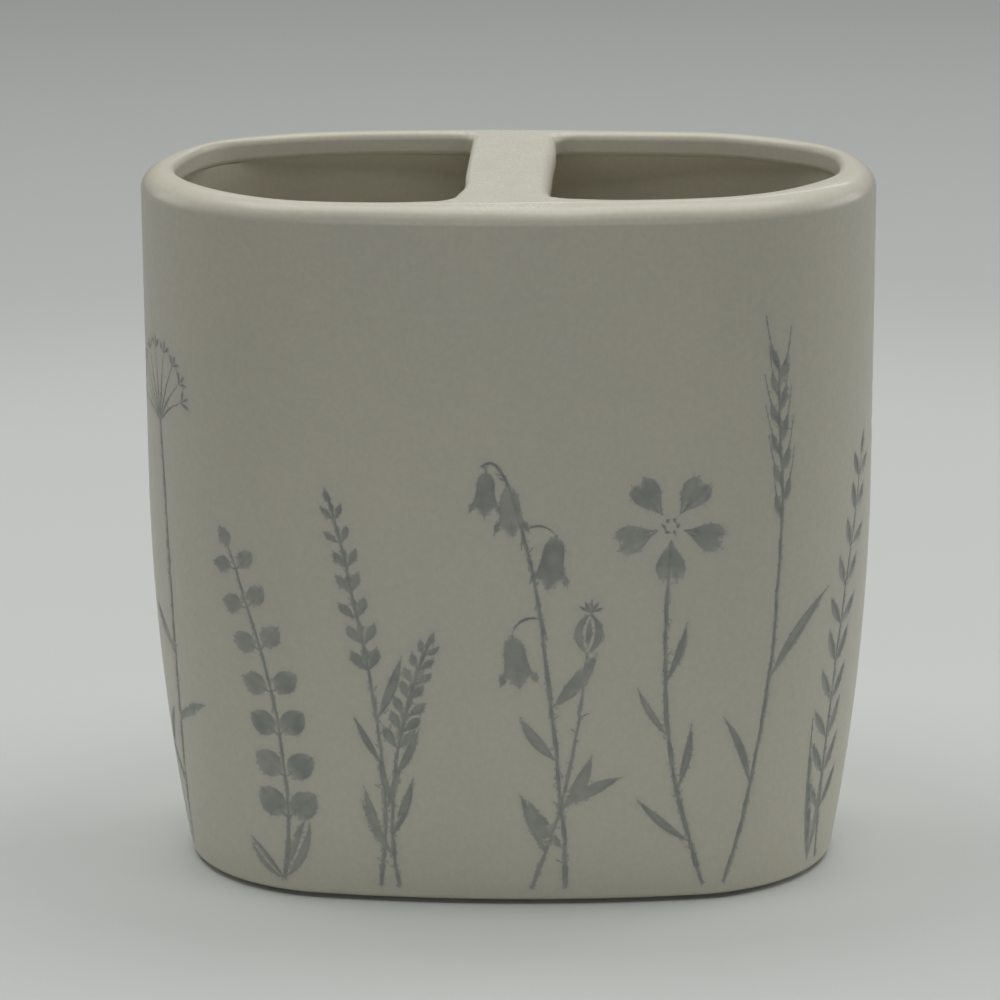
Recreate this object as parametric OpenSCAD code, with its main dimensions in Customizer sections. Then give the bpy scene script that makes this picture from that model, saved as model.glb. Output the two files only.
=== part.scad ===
// Toothbrush holder in glazed stoneware: an oval vessel that draws in towards its foot, a rim
// with a soft lip, a crossbar that parts the two openings, and four pads under the floor.
// Millimetres, +Z up, the long side along X and the front towards -Y. The origin is on the
// table, at the centre of the plan.

/* [Vessel] */
// Width of the holder, end to end
overall_w = 108; // [98:1:120]
// Depth of the holder, front to back
overall_d = 64; // [58:1:70]
// Height from the table to the top of the rim
overall_h = 105.5; // [90:0.5:125]
// Plan radius of the bowed front and back
side_r = 180; // [130:5:400]
// Thickness of the cast wall
wall_t = 4; // [3:0.1:4.5]
// Height above the table at which the wall starts to draw in
belly_h = 60; // [40:1:75]
// How far the wall has drawn in at its foot
foot_inset = 5.2; // [2:0.1:8]
// Round of the outer edge at the foot
foot_edge_r = 1.2; // [0.6:0.1:2]

/* [Floor] */
// Thickness of the floor
floor_t = 5; // [4:0.5:8]
// Radius of the inside corner between wall and floor
floor_corner_r = 6; // [3:0.5:8]
// Width of the foot ring that stands round the recessed underside
foot_ring_w = 5.5; // [5:0.1:7]
// Depth of the recess inside the foot ring
foot_recess = 1.2; // [0.6:0.1:2]

/* [Rim] */
// Thickness of the top around the openings
top_t = 3.6; // [3.3:0.1:5]
// Width of the rim, from its outside to the edge of an opening
rim_w = 5.6; // [5:0.1:8]
// Round of the rim's outer edge
rim_r = 2.8; // [1.5:0.1:3.2]
// Round of an opening's upper edge
lip_r = 1.2; // [0.6:0.1:1.6]
// Round of an opening's lower edge
lip_under_r = 0.8; // [0.4:0.1:1.4]

/* [Crossbar] */
// Width of the bar between the two openings
bar_w = 12.2; // [8:0.1:20]
// Radius of the corners where the bar flares into the rim
bar_corner_r = 3; // [2:0.5:6]

/* [Pads] */
// Diameter of a pad
pad_d = 9; // [6:0.5:12]
// Round of a pad's lower edge
pad_edge_r = 0.5; // [0.2:0.1:0.8]
// How far the pads hold the foot ring off the table
pad_proud = 0.5; // [0.4:0.1:1.5]
// Clear space between a pad and the foot ring
pad_clear = 3; // [1:0.5:6]
// Direction of the pads from the centre of the round end, up from the long axis
pad_turn = 65; // [40:5:80]

/* [Hidden] */
$fn = 64;

cream = [0.80, 0.78, 0.71];
clear_grey = [0.62, 0.64, 0.64];

// Steps that each end, each side, the drawn-in wall and a small round are lofted in
end_steps = 36;
side_steps = 10;
wall_steps = 9;
round_steps = 5;
// How far a cut runs past the surface it opens
overrun = 1;

half_w = overall_w / 2;
half_d = overall_d / 2;

// The plan is an oval of four arcs that run into each other without a corner: two sides of
// side_r, and two ends of the radius that is left for them
end_r = (2 * side_r * half_d - half_w * half_w - half_d * half_d) / (2 * (side_r - half_w));
end_x = half_w - end_r;
side_y = side_r - half_d;
// Direction in which an end arc runs into a side arc
end_turn = atan2(side_y, end_x);

// Below belly_h the wall follows an arc that starts upright
foot_z = pad_proud;
draw_h = belly_h - foot_z;
draw_r = (draw_h * draw_h + foot_inset * foot_inset) / (2 * foot_inset);
// How far inside the plan the foot ring ends
foot_ring_in = foot_inset + foot_ring_w;
// Where the rim is set on the wall
seam_z = overall_h - top_t;
floor_under_z = foot_z + foot_recess;
floor_top_z = floor_under_z + floor_t;

// The openings' edge over the bowed sides, and the corner arc that joins it to the bar
open_side_r = side_r - rim_w;
corner_x = bar_w / 2 + bar_corner_r;
corner_y = sqrt(pow(open_side_r - bar_corner_r, 2) - corner_x * corner_x) - side_y;
corner_turn = atan2(corner_y + side_y, corner_x);
// How far the bar's ends are let into the rim: to the middle of its flat top
let_in = (rim_w - rim_r + lip_r) / 2;

// Points of an arc, from direction a0 to a1
function arc(centre, r, a0, a1, steps) =
    [for (i = [0:steps]) let (a = a0 + (a1 - a0) * i / steps) centre + r * [cos(a), sin(a)]];

// One arc of the plan as rays: its centre, its radius and a direction. The last ray is left
// out, because the next arc starts with it.
function rays(centre, r, a0, a1, steps) =
    [for (i = [0:steps - 1]) [centre, r, a0 + (a1 - a0) * i / steps]];

plan_rays = concat(
    rays([end_x, 0], end_r, -end_turn, end_turn, end_steps),
    rays([0, -side_y], side_r, end_turn, 180 - end_turn, side_steps),
    rays([-end_x, 0], end_r, 180 - end_turn, 180 + end_turn, end_steps),
    rays([0, side_y], side_r, 180 + end_turn, 360 - end_turn, side_steps));

// The point on a ray that a section's point [x, z] comes to, with x counted outwards from the
// plan's outline
function on_ray(ray, p) =
    let (out = ray[0] + (ray[1] + p.x) * [cos(ray[2]), sin(ray[2])]) [out.x, out.y, p.y];

// How far a line parallel to the outside, at some depth under it, lies inside the plan at z
function drawn_in(z, depth = 0) =
    z >= belly_h ? depth : draw_r - sqrt(pow(draw_r - depth, 2) - pow(belly_h - z, 2));

// Direction, in the section, of the drawn-in wall's outward normal at z
function wall_turn(z, depth) = -asin((belly_h - z) / (draw_r - depth));

// The wall line at some depth, from z0 to z1
function wall_line(depth, z0, z1, steps = wall_steps) =
    [for (i = [0:steps]) let (z = z0 + (z1 - z0) * i / steps) [-drawn_in(z, depth), z]];

// A round of radius r between the wall line at some depth and a level, with its centre at z
function wall_round(depth, r, z) =
    arc([-drawn_in(z, depth + r), z], r, wall_turn(z, depth + r), -90, round_steps);

// A closed section swept round the oval
module swept_ring(section) {
    n = len(section);
    m = len(plan_rays);
    polyhedron(
        points = [for (ray = plan_rays) for (p = section) on_ray(ray, p)],
        faces = [for (i = [0:m - 1]) for (j = [0:n - 1])
            [i * n + j, i * n + (j + 1) % n, (i + 1) % m * n + (j + 1) % n, (i + 1) % m * n + j]]);
}

// A section whose two ends are closed with flat oval faces, for a solid with a filled middle
module swept_disc(section) {
    n = len(section);
    m = len(plan_rays);
    polyhedron(
        points = [for (ray = plan_rays) for (p = section) on_ray(ray, p)],
        faces = concat(
            [for (i = [0:m - 1]) for (j = [0:n - 2])
                [i * n + j, i * n + j + 1, (i + 1) % m * n + j + 1, (i + 1) % m * n + j]],
            [[for (i = [0:m - 1]) i * n], [for (i = [m - 1:-1:0]) i * n + n - 1]]));
}

// The cast wall: upright above the belly and drawn in below it, with a rounded foot
module vessel_wall() {
    foot_round = wall_round(0, foot_edge_r, foot_z + foot_edge_r);
    color(cream) swept_ring(concat(
        wall_line(wall_t, seam_z, belly_h, 1),
        wall_line(wall_t, belly_h, foot_z),
        [for (i = [round_steps:-1:0]) foot_round[i]],
        wall_line(0, foot_round[0].y, belly_h),
        [[0, seam_z]]));
}

// The floor, with a rounded corner up to the wall and a recess inside the foot ring
module vessel_floor() {
    corner = wall_round(wall_t, floor_corner_r, floor_top_z + floor_corner_r);
    color(cream) swept_disc(concat(
        [[-foot_ring_in, floor_under_z], [-foot_ring_in, foot_z]],
        wall_line(wall_t, foot_z, corner[0].y, round_steps),
        corner));
}

// The plan of the bar and its two seats in the rim. The seats' sides lie along the normal of
// the openings' edge, where the corner arcs end.
module bar_plan() {
    toward = [cos(corner_turn), sin(corner_turn)];
    inner = open_side_r * toward - [0, side_y];
    outer = inner + let_in * toward;
    polygon([for (s = [[1, 1], [-1, 1], [-1, -1], [1, -1]])
        each (s.x * s.y > 0 ? [[s.x * inner.x, s.y * inner.y], [s.x * outer.x, s.y * outer.y]]
                            : [[s.x * outer.x, s.y * outer.y], [s.x * inner.x, s.y * inner.y]])]);
}

// The rim, set on the wall, with a soft lip that overhangs the vessel's inside
module top_rim() {
    color(cream) difference() {
        swept_ring(concat(
            arc([-rim_r, overall_h - rim_r], rim_r, 0, 90, round_steps + 2),
            arc([lip_r - rim_w, overall_h - lip_r], lip_r, 90, 180, round_steps),
            arc([lip_under_r - rim_w, seam_z + lip_under_r], lip_under_r, 180, 270, round_steps),
            [[0, seam_z]]));
        translate([0, 0, seam_z - overrun])
            linear_extrude(top_t + 2 * overrun) bar_plan();
    }
}

// The free side of the openings' edge, in section: x is 0 at the edge and positive into the
// opening
function lip_gap(reach) = concat(
    [[reach, overall_h + overrun], [-lip_r, overall_h + overrun]],
    arc([-lip_r, overall_h - lip_r], lip_r, 90, 0, round_steps),
    arc([-lip_under_r, seam_z + lip_under_r], lip_under_r, 0, -90, round_steps),
    [[-lip_under_r, seam_z - overrun], [reach, seam_z - overrun]]);

// The bar between the openings, flush with the rim, with its flared ends let into it
module crossbar() {
    color(cream) difference() {
        translate([0, 0, seam_z]) linear_extrude(top_t) bar_plan();
        for (side = [0, 180]) rotate([0, 0, side]) {
            translate([bar_w / 2, corner_y, 0]) rotate([90, 0, 0])
                linear_extrude(2 * corner_y) polygon(lip_gap(bar_corner_r + overrun));
            for (end = [-1, 1])
                translate([corner_x, end * corner_y, 0]) rotate([0, 0, end < 0 ? 180 : 0])
                    rotate_extrude(angle = 180)
                        polygon([for (p = lip_gap(bar_corner_r)) [bar_corner_r - p.x, p.y]]);
        }
    }
}

// One pad, stuck up into the recess and standing proud of the foot ring
module pad(x_side, y_side) {
    reach = end_r - foot_ring_in - pad_clear - pad_d / 2;
    color(clear_grey)
        translate([x_side * (end_x + reach * cos(pad_turn)), y_side * reach * sin(pad_turn), 0])
            rotate_extrude() polygon(concat(
                [[0, floor_under_z], [0, 0]],
                arc([pad_d / 2 - pad_edge_r, pad_edge_r], pad_edge_r, -90, 0, round_steps),
                [[pad_d / 2, floor_under_z]]));
}

vessel_wall();
vessel_floor();
top_rim();
crossbar();
pad(-1, -1);  // pad_front_left
pad(1, -1);  // pad_front_right
pad(-1, 1);  // pad_rear_left
pad(1, 1);  // pad_rear_right
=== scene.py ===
# A toothbrush holder in glazed stoneware: an oval vessel with plants drawn into its outside, a
# rim with a soft lip, a bar that parts the two openings, a floor on a foot ring, and four pads.
# Lengths are worked out in millimetres, as a potter gives them, and put on the meshes in metres.

import math

import bmesh
import bpy
import numpy as np
from mathutils import Matrix, Vector
from mathutils.geometry import delaunay_2d_cdt, tessellate_polygon


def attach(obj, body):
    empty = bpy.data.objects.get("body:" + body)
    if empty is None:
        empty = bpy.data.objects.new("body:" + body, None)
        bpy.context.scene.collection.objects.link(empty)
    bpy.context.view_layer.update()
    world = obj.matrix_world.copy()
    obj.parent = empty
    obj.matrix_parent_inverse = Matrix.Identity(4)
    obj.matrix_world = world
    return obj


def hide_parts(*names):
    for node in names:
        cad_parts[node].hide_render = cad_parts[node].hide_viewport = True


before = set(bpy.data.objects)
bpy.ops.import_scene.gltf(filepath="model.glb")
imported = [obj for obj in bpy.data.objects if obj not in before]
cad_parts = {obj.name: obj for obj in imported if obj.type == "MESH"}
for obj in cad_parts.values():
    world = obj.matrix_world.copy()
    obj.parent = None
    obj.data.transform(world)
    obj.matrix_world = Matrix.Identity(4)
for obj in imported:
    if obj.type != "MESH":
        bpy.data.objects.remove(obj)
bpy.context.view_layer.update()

MM = 0.001


# THE CAST WALL
# The real piece is a slip-cast stoneware wall, oval in plan, upright above its belly and drawn in
# to the foot. While leather-hard it is drawn on with a loop tool, a blue-grey wash is wiped into
# the lines, and the whole is covered with a satin cream glaze, all but the foot it stands on.

HALF_WIDTH, HALF_DEPTH, TOP = 54.0, 32.0, 105.5
SIDE_RADIUS = 180.0
WALL, WALL_TOP = 4.0, 3.0
# Heights: of the seam under the rim, of the belly, and of the foot that the pads hold off the table
SEAM, BELLY, FOOT = 101.9, 60.0, 0.5
FOOT_INSET, FOOT_ROUND = 5.2, 1.2
# Points of neighbouring parts this near are the same. It is far less than the finest mark
WELD = 0.0008

end_radius = ((2 * SIDE_RADIUS * HALF_DEPTH - HALF_WIDTH ** 2 - HALF_DEPTH ** 2)
              / (2 * (SIDE_RADIUS - HALF_WIDTH)))
end_x = HALF_WIDTH - end_radius
side_y = SIDE_RADIUS - HALF_DEPTH
end_turn = math.degrees(math.atan2(side_y, end_x))
# Below its belly the wall is drawn in along an arc that starts upright
draw_radius = ((BELLY - FOOT) ** 2 + FOOT_INSET ** 2) / (2 * FOOT_INSET)


def way_round(bends):
    """A closed path of arcs (x, y, radius, from, to): its distances, points and outward normals."""
    longest_step = 0.3
    gone, points, normals = [0.0], [], []
    for x, y, radius, start, stop in bends:
        length = radius * math.radians(stop - start)
        count = max(2, int(length / min(longest_step, radius / 60)))
        turn = np.radians(np.linspace(start, stop, count + 1))
        out = np.c_[np.cos(turn), np.sin(turn)]
        if points:
            gone[-1] += math.dist(points[-1][-1], (x, y) + radius * out[0])
        points.append((x, y) + radius * out)
        normals.append(out)
        gone += list(gone[-1] + length * np.arange(1, count + 1) / count)
        gone.append(gone[-1])
    distance = np.array(gone[:-1])
    return distance, np.concatenate(points), np.concatenate(normals)


def beside(path, along, out):
    """The points at distances along a path, moved outwards from it."""
    distance, points, normals = path
    spot = [np.interp(along, distance, points[:, k]) for k in (0, 1)]
    away = [np.interp(along, distance, normals[:, k]) for k in (0, 1)]
    return np.c_[spot[0] + out * away[0], spot[1] + out * away[1]]


def path_object(name, path):
    """The path as a closed curve that the bending tree can sample."""
    points = path[1]
    keep = np.r_[True, np.hypot(*np.diff(points, axis=0).T) > 1e-6]
    points = points[keep]
    if math.dist(points[0], points[-1]) < 1e-6:
        points = points[:-1]
    curve = bpy.data.curves.new(name, "CURVE")
    curve.dimensions = "3D"
    spline = curve.splines.new("POLY")
    spline.points.add(len(points) - 1)
    flat = np.c_[points * MM, np.zeros(len(points)), np.ones(len(points))]
    spline.points.foreach_set("co", flat.ravel())
    spline.use_cyclic_u = True
    made = bpy.data.objects.new(name, curve)
    bpy.context.collection.objects.link(made)
    return made


plan = way_round([(0, -side_y, SIDE_RADIUS, 90, 180 - end_turn),
                  (-end_x, 0, end_radius, 180 - end_turn, 180 + end_turn),
                  (0, side_y, SIDE_RADIUS, 180 + end_turn, 360 - end_turn),
                  (end_x, 0, end_radius, -end_turn, end_turn),
                  (0, -side_y, SIDE_RADIUS, end_turn, 90)])
girth = plan[0][-1]
side_run = SIDE_RADIUS * math.radians(90 - end_turn)
end_run = end_radius * math.radians(2 * end_turn)
stops = np.cumsum([0, side_run, end_run, 2 * side_run, end_run, side_run])
columns = np.unique(np.round(np.concatenate(
    [np.linspace(a, b, n) for a, b, n in zip(stops, stops[1:], (11, 53, 21, 53, 11))]), 6))
columns[-1] = girth
plan_curve = path_object("plan", plan)


def plug(tree, node, sockets):
    """Puts a value or a link on each named socket of a node."""
    for name, value in sockets.items():
        if isinstance(value, bpy.types.NodeSocket):
            tree.links.new(value, node.inputs[name])
        else:
            node.inputs[name].default_value = value


def add_node(tree, kind, sockets=None, **settings):
    """A node with its settings, and with a value or a link on each named socket."""
    made = tree.nodes.new(kind)
    for name, value in settings.items():
        setattr(made, name, value)
    plug(tree, made, sockets or {})
    return made


def sums(tree, operation, *values):
    """The result of a Math node on values or links."""
    sockets = dict(enumerate(values))
    return add_node(tree, "ShaderNodeMath", sockets, operation=operation).outputs[0]


def stretched(tree, direction, length):
    """A direction made as long as a value or link says."""
    sockets = {0: direction, "Scale": length}
    return add_node(tree, "ShaderNodeVectorMath", sockets, operation="SCALE").outputs[0]


def added(tree, *vectors):
    """The sum of some vectors."""
    total = vectors[0]
    for vector in vectors[1:]:
        total = add_node(tree, "ShaderNodeVectorMath", {0: total, 1: vector}).outputs[0]
    return total


def bending_tree():
    """The tree that bends flat clay round a path and draws it in below the belly.

    Flat clay lies along X with its outer face at Y = 0 and its height on Z, as a rolled slab
    does before it is bent round a former."""
    tree = bpy.data.node_groups.new("bend_round_former", "GeometryNodeTree")
    for name, kind in (("Flat Clay", "Geometry"), ("Path", "Object"), ("Belly Height", "Float"),
                       ("Foot Height", "Float"), ("Foot Inset", "Float"),
                       ("Groove Depth", "Float"), ("Glaze", "Material"),
                       ("Bare Clay", "Material")):
        tree.interface.new_socket(name, in_out="INPUT", socket_type="NodeSocket" + kind)
    tree.interface.new_socket("Bent Clay", in_out="OUTPUT", socket_type="NodeSocketGeometry")
    given = add_node(tree, "NodeGroupInput").outputs
    place = add_node(tree, "GeometryNodeInputPosition").outputs[0]
    along, out, up = add_node(tree, "ShaderNodeSeparateXYZ", {0: place}).outputs
    groove = add_node(tree, "GeometryNodeInputNamedAttribute", {"Name": "groove"}).outputs[0]
    depth = sums(tree, "SUBTRACT", sums(tree, "MULTIPLY", groove, given["Groove Depth"]), out)
    drop = sums(tree, "MAXIMUM", sums(tree, "SUBTRACT", given["Belly Height"], up), 0.0)
    fall = sums(tree, "SUBTRACT", given["Belly Height"], given["Foot Height"])
    inset = given["Foot Inset"]
    draw = sums(tree, "DIVIDE", sums(tree, "ADD", sums(tree, "MULTIPLY", fall, fall),
                                     sums(tree, "MULTIPLY", inset, inset)),
                sums(tree, "MULTIPLY", inset, 2.0))
    reach = sums(tree, "SUBTRACT", draw, depth)
    level = sums(tree, "SQRT", sums(tree, "SUBTRACT", sums(tree, "MULTIPLY", reach, reach),
                                    sums(tree, "MULTIPLY", drop, drop)))
    moved_out = sums(tree, "SUBTRACT", level, draw)
    sine, cosine = sums(tree, "DIVIDE", drop, reach), sums(tree, "DIVIDE", level, reach)

    former = add_node(tree, "GeometryNodeObjectInfo", {"Object": given["Path"]})
    spot = add_node(tree, "GeometryNodeSampleCurve",
                    {"Curves": former.outputs["Geometry"], "Length": along}, mode="LENGTH")
    onward = spot.outputs["Tangent"]
    upright = (0.0, 0.0, 1.0)
    outward = add_node(tree, "ShaderNodeVectorMath", {0: onward, 1: upright},
                       operation="CROSS_PRODUCT").outputs[0]
    turn = add_node(tree, "GeometryNodeInputNamedAttribute", {"Name": "turn"},
                    data_type="FLOAT_VECTOR").outputs[0]
    turn_on, turn_out, turn_up = add_node(tree, "ShaderNodeSeparateXYZ", {0: turn}).outputs
    lean_out = sums(tree, "ADD", sums(tree, "MULTIPLY", turn_out, cosine),
                    sums(tree, "MULTIPLY", turn_up, sine))
    lean_up = sums(tree, "SUBTRACT", sums(tree, "MULTIPLY", turn_up, cosine),
                   sums(tree, "MULTIPLY", turn_out, sine))
    facing = added(tree, stretched(tree, onward, turn_on), stretched(tree, outward, lean_out),
                   stretched(tree, upright, lean_up))
    kept = add_node(tree, "GeometryNodeStoreNamedAttribute",
                    {"Geometry": given["Flat Clay"], "Name": "facing", "Value": facing},
                    data_type="FLOAT_VECTOR", domain="CORNER")
    bent_place = added(tree, spot.outputs["Position"], stretched(tree, outward, moved_out),
                       stretched(tree, upright, up))
    bent = add_node(tree, "GeometryNodeSetPosition",
                    {"Geometry": kept.outputs[0], "Position": bent_place})
    joined = add_node(tree, "GeometryNodeMergeByDistance",
                      {"Geometry": bent.outputs[0], "Distance": WELD * MM})
    real = add_node(tree, "GeometryNodeRealizeInstances", {"Geometry": joined.outputs[0]})
    glazed = add_node(tree, "GeometryNodeSetMaterial",
                      {"Geometry": real.outputs[0], "Material": given["Glaze"]})
    bare = add_node(tree, "GeometryNodeInputNamedAttribute", {"Name": "bare"},
                    data_type="BOOLEAN").outputs[0]
    done = add_node(tree, "GeometryNodeSetMaterial",
                    {"Geometry": glazed.outputs[0], "Selection": bare,
                     "Material": given["Bare Clay"]})
    add_node(tree, "NodeGroupOutput", {"Bent Clay": done.outputs[0]})
    return tree


bend = bending_tree()


def rows(data, field, width=3):
    """One field of a mesh's points or corners, as rows of numbers."""
    values = np.empty(len(data) * width)
    data.foreach_get(field, values)
    return values.reshape(-1, width)


def slab(parts):
    """Flat clay as a mesh: each part is its points, faces, turns, and what its skin is like.

    A turn is the surface's direction at a point, as (on, out, up). Flat faces have none."""
    points, faces, turns, smooth, bare = [], [], [], [], []
    skins = {"groove": [], "wash": [], "haze": []}
    for part in parts:
        start = sum(map(len, points))
        points.append(part["points"])
        faces += [[start + k for k in face] for face in part["faces"]]
        corners = [k for face in part["faces"] for k in face]
        turns.append(part["turns"][corners] if "turns" in part else np.zeros((len(corners), 3)))
        smooth += ["turns" in part] * len(part["faces"])
        bare += [part.get("bare", False)] * len(part["faces"])
        for name, values in skins.items():
            values.append(part.get(name, np.zeros(len(part["points"]))))
    mesh = bpy.data.meshes.new("flat_clay")
    mesh.from_pydata(np.concatenate(points) * MM, [], faces)
    mesh.polygons.foreach_set("use_smooth", smooth)
    for name, kind, domain, field, values in (
            ("turn", "FLOAT_VECTOR", "CORNER", "vector", np.concatenate(turns).ravel()),
            *((name, "FLOAT", "POINT", "value", np.concatenate(values))
              for name, values in skins.items()),
            ("bare", "BOOLEAN", "FACE", "value", bare)):
        mesh.attributes.new(name, kind, domain).data.foreach_set(field, values)
    return mesh


def bent_clay(parts, path, glaze, bare_clay, belly=BELLY, groove_depth=0.0):
    """The parts bent round a path by the tree, as a plain mesh."""
    worker = bpy.data.objects.new("worker", slab(parts))
    bpy.context.collection.objects.link(worker)
    bender = worker.modifiers.new("bend", "NODES")
    bender.node_group = bend
    wanted = {"Path": path, "Belly Height": belly * MM, "Foot Height": FOOT * MM,
              "Foot Inset": FOOT_INSET * MM, "Groove Depth": groove_depth * MM,
              "Glaze": glaze, "Bare Clay": bare_clay}
    for socket in bend.interface.items_tree:
        if socket.name in wanted:
            bender[socket.identifier] = wanted[socket.name]
    graph = bpy.context.evaluated_depsgraph_get()
    mesh = bpy.data.meshes.new_from_object(worker.evaluated_get(graph),
                                           preserve_all_data_layers=True, depsgraph=graph)
    flat = worker.data
    bpy.data.objects.remove(worker)
    bpy.data.meshes.remove(flat)
    return mesh


def shown(name, mesh, node):
    """The finished mesh as a piece that rides on the body in place of its CAD node."""
    facing = rows(mesh.attributes["facing"].data, "vector")
    length = np.linalg.norm(facing, axis=1)
    given = length > 0.5
    facing[given] /= length[given, None]
    mesh.normals_split_custom_set(facing)
    for used in ("facing", "turn", "groove", "bare"):
        if used in mesh.attributes:
            mesh.attributes.remove(mesh.attributes[used])
    piece = bpy.data.objects.new(name, mesh)
    bpy.context.collection.objects.link(piece)
    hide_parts(node)
    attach(piece, "root")


def undrawn(section):
    """Points (out, up, turn) of the drawn-in section, as they lie in the flat clay."""
    flat = []
    for out, up, turn in section:
        drop = max(BELLY - up, 0.0)
        depth = draw_radius - math.hypot(draw_radius + out, drop)
        lean = math.degrees(math.asin(drop / (draw_radius - depth)))
        flat.append((-depth, up, turn + lean))
    return flat


def rounded(out, up, radius, start, stop, steps, hollow=False):
    """An arc of a section, as (out, up, turn). A hollow one faces its own centre."""
    turns = np.linspace(start, stop, steps + 1)
    return [(out + radius * math.cos(math.radians(a)), up + radius * math.sin(math.radians(a)),
             a + 180 * hollow) for a in turns]


def wall_round(depth, radius, height, steps, hollow=False):
    """A round of the section between the wall's line at a depth and a level."""
    reach, drop = draw_radius - depth - radius, BELLY - height
    lean = -math.degrees(math.asin(drop / reach))
    out = math.sqrt(reach ** 2 - drop ** 2) - draw_radius
    return undrawn(rounded(out, height, radius, lean, -90, steps, hollow))


def strip(along, section, flat=False, bare=False):
    """A section (out, up, turn) repeated at distances along a path, the clay on its left."""
    count = len(section)
    points, turns = [], []
    for distance in along:
        points += [(distance, out, up) for out, up, _ in section]
        turns += [(0.0, math.cos(math.radians(a)), math.sin(math.radians(a)))
                  for _, _, a in section]
    faces = [(i * count + j, (i + 1) * count + j, (i + 1) * count + j + 1, i * count + j + 1)
             for i in range(len(along) - 1) for j in range(count - 1)]
    part = {"points": np.array(points), "faces": faces, "bare": bare}
    if not flat:
        part["turns"] = np.array(turns)
    return part


def noise(tree, place, scale, detail=2.0, roughness=0.5):
    """Soft random patches, so many to the metre."""
    return add_node(tree, "ShaderNodeTexNoise",
                    {"Vector": place, "Scale": scale, "Detail": detail,
                     "Roughness": roughness}).outputs["Fac"]


def ramp(tree, value, low, high, to_low=0.0, to_high=1.0, kind="SMOOTHSTEP"):
    """A value brought from one range into another, and held at the ends."""
    return add_node(tree, "ShaderNodeMapRange",
                    {"Value": value, "From Min": low, "From Max": high, "To Min": to_low,
                     "To Max": to_high}, interpolation_type=kind).outputs[0]


def mixed(tree, share, first, second, blend="MIX"):
    """Two colours mixed by a share."""
    return add_node(tree, "ShaderNodeMix", {0: share, 6: first, 7: second}, data_type="RGBA",
                    blend_type=blend).outputs[2]


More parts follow.
